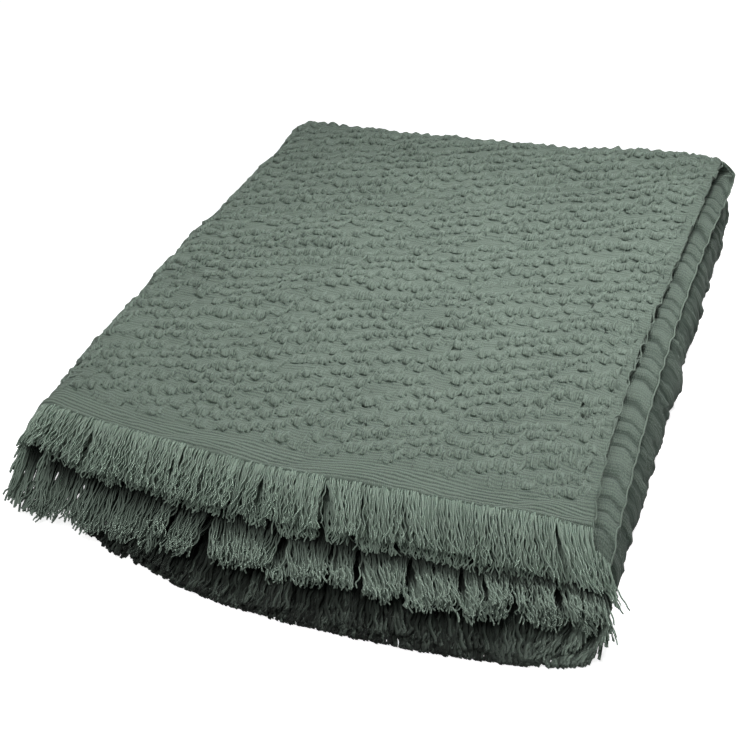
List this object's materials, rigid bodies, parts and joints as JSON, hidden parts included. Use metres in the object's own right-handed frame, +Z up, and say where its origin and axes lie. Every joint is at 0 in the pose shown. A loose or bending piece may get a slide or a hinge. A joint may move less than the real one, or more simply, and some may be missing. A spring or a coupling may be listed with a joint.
{
  "type": "folded jacquard throw",
  "caption": "Sage green jacquard throw with raised tufts and fringed ends, doubled end to end and folded in thirds to lie flat with its fringe at the front",
  "frame": {"origin": "middle of the underside of the part's bounding box, on the surface it lies on", "axes": "+Z up; +Y from the fringed front to the fold at the back; +X along the front edge, with the top panel's selvedges at +X"},
  "size_m": [0.4959, 0.7866, 0.0831],
  "materials": {
    "cloth": "matt ribbed cotton weave with raised tufts",
    "fringe_yarn": "matt loose cotton yarn"
  },
  "bodies": {
    "root": {"throw_cloth": "cloth", "fringe_upper_end": "fringe_yarn", "fringe_under_end": "fringe_yarn"}
  },
  "joints": []
}
